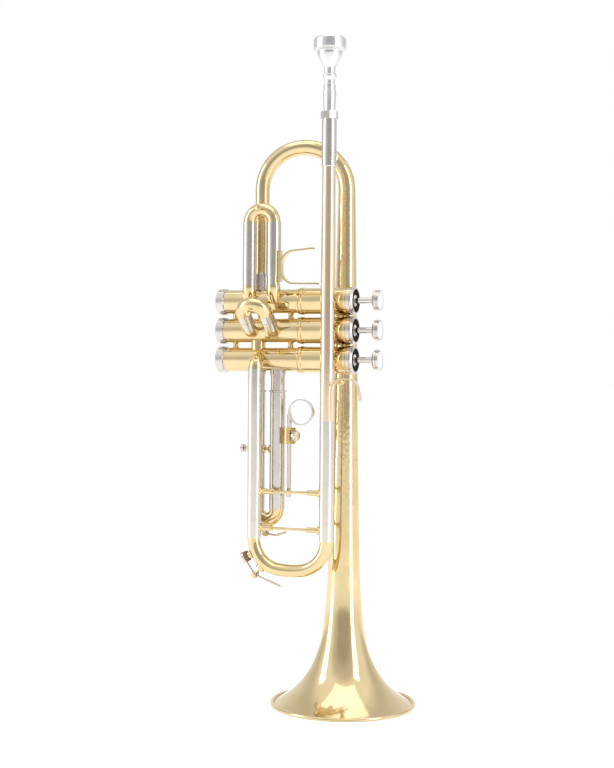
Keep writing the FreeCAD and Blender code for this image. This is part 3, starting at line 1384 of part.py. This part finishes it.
def all_parts():
    parts = {
        "bell_flare": bell_flare(),
        "bell_rim_wire": bell_rim_wire(),
        "bell_stem": bell_stem(),
        "bell_ferrule": bell_ferrule(),
        "casing_posts": casing_posts(),
        "top_caps": together([top_cap(index) for index in range(3)]),
        "cap_felts": together([cap_felt(index) for index in range(3)]),
        "bottom_caps": together([bottom_cap(index) for index in range(3)]),
        "valve_guides": together([valve_guide(index) for index in range(3)]),
        "port_tubes": port_tubes(),
        "leadpipe": leadpipe(),
        "mouthpiece_receiver": mouthpiece_receiver(),
        "tuning_slide_sleeves": tuning_slide_sleeves(),
        "valve_3_elbow": valve_3_elbow(),
        "slide_1_knuckles": slide_1_knuckles(),
        "slide_1_fixed_tubes": slide_1_fixed_tubes(),
        "slide_2_knuckles": slide_2_knuckles(),
        "slide_2_sleeves": slide_2_sleeves(),
        "slide_3_fixed_tubes": slide_3_fixed_tubes(),
        "pinky_hook": pinky_hook(),
        "braces": braces(),
        "tuning_slide_legs": tuning_slide_legs(),
        "tuning_slide_bow": tuning_slide_bow(),
        "tuning_slide_brace": tuning_slide_brace(),
        "tuning_key_saddle": tuning_key_saddle(),
        "tuning_key_lever": tuning_key_lever(),
        "tuning_key_cork": tuning_key_cork(),
        "tuning_key_spring": torsion_spring(key_pivot(), 2.5, 1.75, 0.35),
        "slide_1_crook": slide_1_crook(),
        "slide_1_legs": slide_1_legs(),
        "thumb_hook": thumb_hook(),
        "slide_2_crook": slide_2_crook(),
        "slide_2_legs": slide_2_legs(),
        "slide_3_crook": slide_3_crook(),
        "slide_3_legs": slide_3_legs(),
        "slide_3_brace": together([slide_3_brace(), stop_screw_post()]),
        "ring_clamp": ring_clamp(),
        "slide_3_key_saddle": slide_3_key_saddle(),
        "slide_3_key_lever": slide_3_key_lever(),
        "slide_3_key_cork": slide_3_key_cork(),
        "slide_3_key_spring": torsion_spring(key_3_pivot(), 2.2, 1.4, 0.3),
        "finger_ring": finger_ring(),
        "clamp_screw": clamp_screw(),
        "stop_screw": stop_screw(),
        "mouthpiece": mouthpiece(),
    }
    for index, name in enumerate(VALVE_NAMES):
        parts["valve_casing_" + name] = valve_casing(index)
        parts["piston_" + name] = piston(index)
        parts["valve_spring_" + name] = valve_spring(index)
        parts["button_" + name] = finger_button(index)
        parts["pearl_" + name] = pearl(index)
    return parts


def print_motion():
    """Travels and pivots that the moving pieces are designed for."""
    travels = {
        "valve": VALVE_TRAVEL,
        "tuning": TUNING_TRAVEL,
        "slide_1": SLIDE_1_TRAVEL,
        "slide_2": SLIDE_2_TRAVEL,
        "slide_3": SLIDE_3_TRAVEL,
        "mouthpiece": MOUTHPIECE_TRAVEL,
        "ring": RING_TRAVEL,
    }
    pivots = {
        "tuning_key": key_pivot(),
        "slide_3_key": key_3_pivot(),
        "clamp_screw": V(ROD_X, ROD_Y, (CLAMP_TOP + CLAMP_BOTTOM) / 2),
        "stop_screw": slide_3_at(SLIDE_3_LEFT_X - SLIDE_3_TUBE_RADIUS, SLIDE_3_BRACE_Z),
    }
    for name, travel in travels.items():
        print(f"travel {name} {travel:.3f}")
    for name, pivot in pivots.items():
        print(f"pivot {name} {pivot.x:.3f} {pivot.y:.3f} {pivot.z:.3f}")


def main():
    os.makedirs("parts", exist_ok=True)
    for name, shape in all_parts().items():
        shape.exportStep(os.path.join("parts", name + ".step"))
        state = "valid" if shape.isValid() else "INVALID"
        print(f"{name:24s} {state} solids {len(shape.Solids)} volume {shape.Volume:10.1f}")
    print_motion()


main()
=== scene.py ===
import json
import math

import bpy
from mathutils import Matrix, Vector


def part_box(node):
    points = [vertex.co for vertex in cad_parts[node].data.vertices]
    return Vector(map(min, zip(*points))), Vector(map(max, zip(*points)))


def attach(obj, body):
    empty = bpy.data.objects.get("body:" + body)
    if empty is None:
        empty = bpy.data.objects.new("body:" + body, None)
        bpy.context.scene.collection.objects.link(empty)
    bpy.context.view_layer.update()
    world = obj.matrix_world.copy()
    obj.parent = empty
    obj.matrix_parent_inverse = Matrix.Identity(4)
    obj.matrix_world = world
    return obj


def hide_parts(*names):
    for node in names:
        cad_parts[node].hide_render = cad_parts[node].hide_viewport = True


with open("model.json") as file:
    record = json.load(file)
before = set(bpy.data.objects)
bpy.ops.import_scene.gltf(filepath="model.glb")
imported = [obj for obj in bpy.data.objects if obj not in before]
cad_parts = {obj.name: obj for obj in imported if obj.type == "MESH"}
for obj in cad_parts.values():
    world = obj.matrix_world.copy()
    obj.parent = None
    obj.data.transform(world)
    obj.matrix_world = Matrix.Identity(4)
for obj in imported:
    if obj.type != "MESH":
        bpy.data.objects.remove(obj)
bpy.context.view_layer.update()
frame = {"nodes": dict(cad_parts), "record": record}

# The camera looks at a point between the bell and the valves, from the leadpipe side.
CAMERA_AIM = Vector((-0.027, -0.020, 0.2696))
CAMERA_DISTANCE = 1.146
CAMERA_AZIMUTH = math.radians(20.365)
CAMERA_DROP = math.radians(0.429)
CAMERA_ROLL = math.radians(0.47)
LENS = 64.34
SENSOR = 36.0

FLOOR_SIZE = 60.0

# Buffing lines on metal: bump strength, and depth in metres.
BUFFING_STRENGTH = 0.004
BUFFING_DEPTH = 0.000001

# Brightness of the room by direction: 0 is behind the trumpet and 1 is behind the photographer.
ROOM_BRIGHTNESS = [(0.0, 0.95), (0.30, 0.72), (0.52, 1.10), (0.72, 1.10), (0.86, 0.72), (0.97, 0.50)]
BACKDROP_BRIGHTNESS = 1.0
FLOOR_GLOW = 0.28

# Soft panels: name, place, the point that it faces, width and height in metres, and watts.
PANELS = [
    ("left_panel", (-1.3, -0.8, 0.6), (0, 0, 0.28), (0.5, 1.5), 7),
    ("right_panel", (1.5, -0.5, 0.7), (0, 0, 0.28), (0.5, 1.5), 7),
    ("top_panel", (0.1, -0.2, 1.7), (0, 0, 0.2), (1.4, 1.4), 5),
]

# Water key springs: turns in each coil, points in each turn, and the wires' radii in metres.
COIL_TURNS = 5
COIL_STEPS = 28
TUNING_KEY_WIRE = 0.00035
SLIDE_3_KEY_WIRE = 0.0003

MILLIMETRE = 0.001


# ---------------------------------------------------------------- material helpers

def start_material(name):
    """New material with an empty node tree, its output and a Principled shader."""
    material = bpy.data.materials.new(name)
    material.use_nodes = True
    tree = material.node_tree
    tree.nodes.clear()
    output = tree.nodes.new("ShaderNodeOutputMaterial")
    shader = tree.nodes.new("ShaderNodeBsdfPrincipled")
    tree.links.new(shader.outputs["BSDF"], output.inputs["Surface"])
    return material, tree, shader


def noise(tree, scale, detail, stretch=(1, 1, 1)):
    """Noise over the surface's own place, in metres, so it doesn't slide in other views."""
    place = tree.nodes.new("ShaderNodeTexCoord")
    mapping = tree.nodes.new("ShaderNodeMapping")
    mapping.inputs["Scale"].default_value = stretch
    texture = tree.nodes.new("ShaderNodeTexNoise")
    texture.inputs["Scale"].default_value = scale
    texture.inputs["Detail"].default_value = detail
    tree.links.new(place.outputs["Object"], mapping.inputs["Vector"])
    tree.links.new(mapping.outputs["Vector"], texture.inputs["Vector"])
    return texture.outputs["Fac"]


def ramp(tree, value, low, high, low_at=0.3, high_at=0.7):
    """Colour that runs from one tint to another with a value."""
    node = tree.nodes.new("ShaderNodeValToRGB")
    first, last = node.color_ramp.elements
    first.position = low_at
    last.position = high_at
    first.color = (*low, 1)
    last.color = (*high, 1)
    tree.links.new(value, node.inputs["Fac"])
    return node.outputs["Color"]


def set_stops(color_ramp, stops):
    """Give a colour ramp its stops, each a position and a colour."""
    elements = color_ramp.elements
    while len(elements) < len(stops):
        elements.new(0.5)
    for element, (position, colour) in zip(elements, stops):
        element.position = position
        element.color = (*colour, 1)


def span(tree, value, low, high):
    """Number that runs between two limits with a noise value."""
    node = tree.nodes.new("ShaderNodeMapRange")
    node.inputs["From Min"].default_value = 0.3
    node.inputs["From Max"].default_value = 0.7
    node.inputs["To Min"].default_value = low
    node.inputs["To Max"].default_value = high
    tree.links.new(value, node.inputs["Value"])
    return node.outputs["Result"]


def add_bump(tree, shader, value, strength, depth):
    """Raise and lower the shaded surface with a noise value."""
    bump = tree.nodes.new("ShaderNodeBump")
    bump.inputs["Strength"].default_value = strength
    bump.inputs["Distance"].default_value = depth
    tree.links.new(value, bump.inputs["Height"])
    tree.links.new(bump.outputs["Normal"], shader.inputs["Normal"])


def polished_metal(name, dark, light, gloss, coat=0.0):
    """Bright metal: faint tarnish clouds, uneven polish and fine buffing lines."""
    material, tree, shader = start_material(name)
    clouds = noise(tree, 55, 4)
    haze = noise(tree, 160, 5)
    buffing = noise(tree, 1400, 2, (1, 1, 0.12))
    shader.inputs["Metallic"].default_value = 1.0
    shader.inputs["Coat Weight"].default_value = coat
    shader.inputs["Coat Roughness"].default_value = 0.04
    tree.links.new(ramp(tree, clouds, dark, light), shader.inputs["Base Color"])
    tree.links.new(span(tree, haze, gloss * 0.9, gloss * 1.2), shader.inputs["Roughness"])
    add_bump(tree, shader, buffing, BUFFING_STRENGTH, BUFFING_DEPTH)
    return material


# ---------------------------------------------------------------- materials

def lacquered_brass():
    return polished_metal("lacquered_brass", (0.69, 0.54, 0.285), (0.76, 0.61, 0.35), 0.09, 0.4)


def rose_brass():
    return polished_metal("rose_brass", (0.80, 0.63, 0.46), (0.87, 0.70, 0.52), 0.09, 0.4)


def nickel_silver():
    return polished_metal("nickel_silver", (0.62, 0.58, 0.52), (0.70, 0.66, 0.60), 0.12)


def nickel_plate():
    return polished_metal("nickel_plate", (0.60, 0.56, 0.52), (0.68, 0.65, 0.61), 0.11)


def silver_plate():
    return polished_metal("silver_plate", (0.69, 0.69, 0.69), (0.75, 0.75, 0.75), 0.24)


def monel():
    return polished_metal("monel", (0.50, 0.48, 0.45), (0.58, 0.56, 0.53), 0.24)


def spring_steel():
    return polished_metal("spring_steel", (0.42, 0.42, 0.43), (0.54, 0.54, 0.55), 0.26)


def rim_wire_steel():
    return polished_metal("rim_wire_steel", (0.38, 0.38, 0.38), (0.48, 0.48, 0.48), 0.34)


def black_felt():
    """Pressed wool: matted fibres and a soft sheen."""
    material, tree, shader = start_material("black_felt")
    fibres = noise(tree, 2600, 6)
    clumps = noise(tree, 500, 3)
    shader.inputs["Roughness"].default_value = 0.95
    shader.inputs["Sheen Weight"].default_value = 0.04
    shader.inputs["Specular IOR Level"].default_value = 0.1
    tint = ramp(tree, clumps, (0.004, 0.004, 0.004), (0.010, 0.010, 0.010))
    tree.links.new(tint, shader.inputs["Base Color"])
    add_bump(tree, shader, fibres, 0.8, 0.0003)
    return material


def pearl():
    """Mother-of-pearl: soft cloudy bands of pink, green and cream under a clear gloss."""
    material, tree, shader = start_material("pearl")
    bands = noise(tree, 260, 3, (1, 1, 2.5))
    tint = tree.nodes.new("ShaderNodeValToRGB")
    colours = [
        (0.30, (0.74, 0.70, 0.69)),
        (0.45, (0.82, 0.79, 0.75)),
        (0.55, (0.70, 0.76, 0.73)),
        (0.70, (0.85, 0.84, 0.81)),
    ]
    set_stops(tint.color_ramp, colours)
    tree.links.new(bands, tint.inputs["Fac"])
    tree.links.new(tint.outputs["Color"], shader.inputs["Base Color"])
    shader.inputs["Roughness"].default_value = 0.16
    shader.inputs["Coat Weight"].default_value = 0.7
    add_bump(tree, shader, bands, 0.1, 0.0001)
    return material


def cork():
    """Dense cork with dark pores."""
    material, tree, shader = start_material("cork")
    grains = noise(tree, 1500, 5)
    shader.inputs["Roughness"].default_value = 0.85
    tree.links.new(ramp(tree, grains, (0.13, 0.055, 0.030), (0.36, 0.19, 0.10)), shader.inputs["Base Color"])
    add_bump(tree, shader, grains, 0.6, 0.0002)
    return material


def guide_plastic():
    """Moulded nylon, faintly mottled."""
    material, tree, shader = start_material("guide_plastic")
    mottle = noise(tree, 300, 3)
    shader.inputs["Roughness"].default_value = 0.5
    tree.links.new(ramp(tree, mottle, (0.76, 0.75, 0.70), (0.84, 0.83, 0.79)), shader.inputs["Base Color"])
    add_bump(tree, shader, mottle, 0.2, 0.0001)
    return material


MAKERS = [
    lacquered_brass, rose_brass, nickel_silver, nickel_plate, silver_plate, monel,
    spring_steel, rim_wire_steel, black_felt, pearl, cork, guide_plastic,
]
MATERIALS = {maker.__name__: maker() for maker in MAKERS}


def paint_cad_nodes():
    """Every carried-over CAD node gets the material that the record names for it."""
    for part in frame["record"]["subparts"]:
        mesh = frame["nodes"][part["node"]].data
        material = MATERIALS[part["material_slot"]]
        if not mesh.materials:
            mesh.materials.append(material)
        for index in range(len(mesh.materials)):
            mesh.materials[index] = material


# ---------------------------------------------------------------- detailed pieces

def curve_value(before, start, end, after, share):
    """Catmull-Rom value a share of the way from start to end."""
    slope = (end - before) * share
    square = (2 * before - 5 * start + 4 * end - after) * share ** 2
    cube = (3 * start - before - 3 * end + after) * share ** 3
    return 0.5 * (2 * start + slope + square + cube)


def smooth_points(points, steps):
    """Catmull-Rom curve through a list of points."""
    result = []
    padded = [points[0]] + points + [points[-1]]
    for neighbours in zip(padded, padded[1:], padded[2:], padded[3:]):
        for step in range(steps):
            share = step / steps
            result.append(tuple(curve_value(*values, share) for values in zip(*neighbours)))
    result.append(points[-1])
    return result


def lathe(name, outline, centre, sides):
    """Closed surface turned about a vertical axis.  The outline lists (radius, height)."""
    corners = []
    for side in range(sides):
        angle = 2 * math.pi * side / sides
        for radius, height in outline:
            x = centre.x + radius * math.cos(angle)
            y = centre.y + radius * math.sin(angle)
            corners.append((x, y, height))
    count = len(outline)
    faces = []
    for side in range(sides):
        here = side * count
        there = (side + 1) % sides * count
        for row in range(count):
            above = (row + 1) % count
            faces.append((here + row, there + row, there + above, here + above))
    mesh = bpy.data.meshes.new(name)
    mesh.from_pydata(corners, [], faces)
    mesh.validate()
    for face in mesh.polygons:
        face.use_smooth = True
    piece = bpy.data.objects.new(name, mesh)
    bpy.context.scene.collection.objects.link(piece)
    return piece


# Mouthpiece outlines as (radius, height) in millimetres, the height measured from the top of the rim.
CUP_OUTSIDE = [
    (11.4, 0), (12.4, -0.3), (13.2, -1.4), (13.4, -3.4), (13.3, -8.6), (12.6, -9.9), (10.8, -10.8),
    (10.2, -11.6), (10.1, -13.6), (9.3, -16.2), (7.7, -19.0), (5.9, -21.8), (4.8, -24.2), (4.5, -27.6),
]
BEAD = [(4.6, -29.0), (5.5, -30.0), (5.7, -31.2), (5.4, -32.4), (4.5, -33.6)]
WAIST = [(4.25, -34.6), (4.1, -36.4), (4.1, -37.6)]
SHANK_AND_BORE = [
    (5.0, -38.2), (5.0, -42.8), (5.6, -44.0), (4.85, -60.0), (4.15, -85.5), (3.4, -85.5), (1.85, -30.0),
]
CUP_INSIDE = [
    (1.85, -20.5), (3.6, -18.0), (6.3, -15.0), (7.7, -12.0), (8.3, -8.0), (8.7, -3.0), (9.9, -1.2),
    (10.6, -0.3),
]
CURVE_STEPS = 6
LATHE_SIDES = 128
SHARP_EDGE = math.radians(35)


def mouthpiece():
    """Turned mouthpiece with smooth curves, in place of the straight-edged CAD outline."""
    low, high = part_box("mouthpiece")
    outline = []
    for run in (CUP_OUTSIDE, BEAD, WAIST):
        outline += smooth_points(run, CURVE_STEPS)
    outline += SHANK_AND_BORE + smooth_points(CUP_INSIDE, CURVE_STEPS)
    outline = [(radius * MILLIMETRE, high.z + height * MILLIMETRE) for radius, height in outline]
    piece = lathe("turned_mouthpiece", outline, (low + high) / 2, LATHE_SIDES)
    split = piece.modifiers.new("sharp edges", "EDGE_SPLIT")
    split.split_angle = SHARP_EDGE
    piece.data.materials.append(MATERIALS["silver_plate"])
    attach(piece, "cup_mouthpiece")
    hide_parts("mouthpiece")


def coil_spring(name, node, body, wire):
    """Torsion spring wound round a water key's pivot, in place of its two plain rings."""
    low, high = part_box(node)
    centre = (low + high) / 2
    radius = (high.x - low.x) / 2 - wire
    half_width = (high.y - low.y) / 2 - wire
    curve = bpy.data.curves.new(name, "CURVE")
    curve.dimensions = "3D"
    curve.bevel_depth = wire
    curve.bevel_resolution = 4
    curve.use_fill_caps = True
    spline = curve.splines.new("POLY")
    steps = COIL_STEPS * COIL_TURNS
    spline.points.add(steps)
    for index, point in enumerate(spline.points):
        angle = 2 * math.pi * COIL_TURNS * index / steps
        across = -half_width + 2 * half_width * index / steps
        place = centre + Vector((radius * math.cos(angle), across, radius * math.sin(angle)))
        point.co = (*place, 1)
    piece = bpy.data.objects.new(name, curve)
    bpy.context.scene.collection.objects.link(piece)
    curve.materials.append(MATERIALS["spring_steel"])
    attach(piece, body)
    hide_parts(node)


# ---------------------------------------------------------------- stage

def floor():
    """Wide sheet of white paper at the height of the bell's rim, with a slight glow of its own."""
    mesh = bpy.data.meshes.new("studio_floor")
    half = FLOOR_SIZE / 2
    corners = [(-half, -half, 0), (half, -half, 0), (half, half, 0), (-half, half, 0)]
    mesh.from_pydata(corners, [], [(0, 1, 2, 3)])
    piece = bpy.data.objects.new("studio_floor", mesh)
    bpy.context.scene.collection.objects.link(piece)
    material, tree, shader = start_material("studio_paper")
    grain = noise(tree, 30, 3)
    shader.inputs["Roughness"].default_value = 0.7
    tree.links.new(ramp(tree, grain, (0.88, 0.88, 0.88), (0.91, 0.91, 0.91)), shader.inputs["Base Color"])
    shader.inputs["Emission Color"].default_value = (1, 1, 1, 1)
    shader.inputs["Emission Strength"].default_value = FLOOR_GLOW
    mesh.materials.append(material)


def soft_panel(name, place, aim, size, power):
    """Rectangular lamp turned to face a point."""
    light = bpy.data.lights.new(name, "AREA")
    light.shape = "RECTANGLE"
    light.size, light.size_y = size
    light.energy = power
    lamp = bpy.data.objects.new(name, light)
    lamp.location = place
    lamp.rotation_euler = (Vector(aim) - Vector(place)).to_track_quat("-Z", "Y").to_euler()
    bpy.context.scene.collection.objects.link(lamp)


def studio_light():
    """White room: dim behind the photographer, brightest to both sides, plain white to look at."""
    world = bpy.data.worlds.new("studio")
    bpy.context.scene.world = world
    world.use_nodes = True
    tree = world.node_tree
    background = tree.nodes["Background"]
    direction = tree.nodes.new("ShaderNodeTexCoord")
    towards = tree.nodes.new("ShaderNodeVectorMath")
    towards.operation = "DOT_PRODUCT"
    towards.inputs[1].default_value = (math.sin(CAMERA_AZIMUTH), -math.cos(CAMERA_AZIMUTH), 0)
    place = tree.nodes.new("ShaderNodeMapRange")
    place.inputs["From Min"].default_value = -1.0
    place.inputs["From Max"].default_value = 1.0
    brightness = tree.nodes.new("ShaderNodeValToRGB")
    brightness.color_ramp.interpolation = "EASE"
    set_stops(brightness.color_ramp, [(position, (value,) * 3) for position, value in ROOM_BRIGHTNESS])
    sight = tree.nodes.new("ShaderNodeLightPath")
    chosen = tree.nodes.new("ShaderNodeMix")
    chosen.data_type = "FLOAT"
    chosen.inputs["B"].default_value = BACKDROP_BRIGHTNESS
    tree.links.new(direction.outputs["Generated"], towards.inputs[0])
    tree.links.new(towards.outputs["Value"], place.inputs["Value"])
    tree.links.new(place.outputs["Result"], brightness.inputs["Fac"])
    tree.links.new(brightness.outputs["Color"], chosen.inputs["A"])
    tree.links.new(sight.outputs["Is Camera Ray"], chosen.inputs["Factor"])
    tree.links.new(chosen.outputs["Result"], background.inputs["Strength"])
    background.inputs["Color"].default_value = (1, 1, 1, 1)
    for panel in PANELS:
        soft_panel(*panel)


def camera():
    """Long lens, nearly level, with the small roll of the photograph."""
    data = bpy.data.cameras.new("camera")
    data.lens = LENS
    data.sensor_width = SENSOR
    forward = Vector((
        -math.sin(CAMERA_AZIMUTH) * math.cos(CAMERA_DROP),
        math.cos(CAMERA_AZIMUTH) * math.cos(CAMERA_DROP),
        -math.sin(CAMERA_DROP)))
    level = Vector((math.cos(CAMERA_AZIMUTH), math.sin(CAMERA_AZIMUTH), 0))
    upright = level.cross(forward)
    right = level * math.cos(CAMERA_ROLL) + upright * math.sin(CAMERA_ROLL)
    up = upright * math.cos(CAMERA_ROLL) - level * math.sin(CAMERA_ROLL)
    viewer = bpy.data.objects.new("camera", data)
    turn = Matrix((right, up, -forward)).transposed()
    viewer.matrix_world = Matrix.Translation(CAMERA_AIM - forward * CAMERA_DISTANCE) @ turn.to_4x4()
    bpy.context.scene.collection.objects.link(viewer)
    bpy.context.scene.camera = viewer


# ---------------------------------------------------------------- making the scene

camera()
floor()
studio_light()
bpy.context.scene.view_settings.view_transform = "Standard"
paint_cad_nodes()
mouthpiece()
coil_spring("tuning_key_coil", "tuning_key_spring", "tuning_key", TUNING_KEY_WIRE)
coil_spring("slide_3_key_coil", "slide_3_key_spring", "third_slide_key", SLIDE_3_KEY_WIRE)
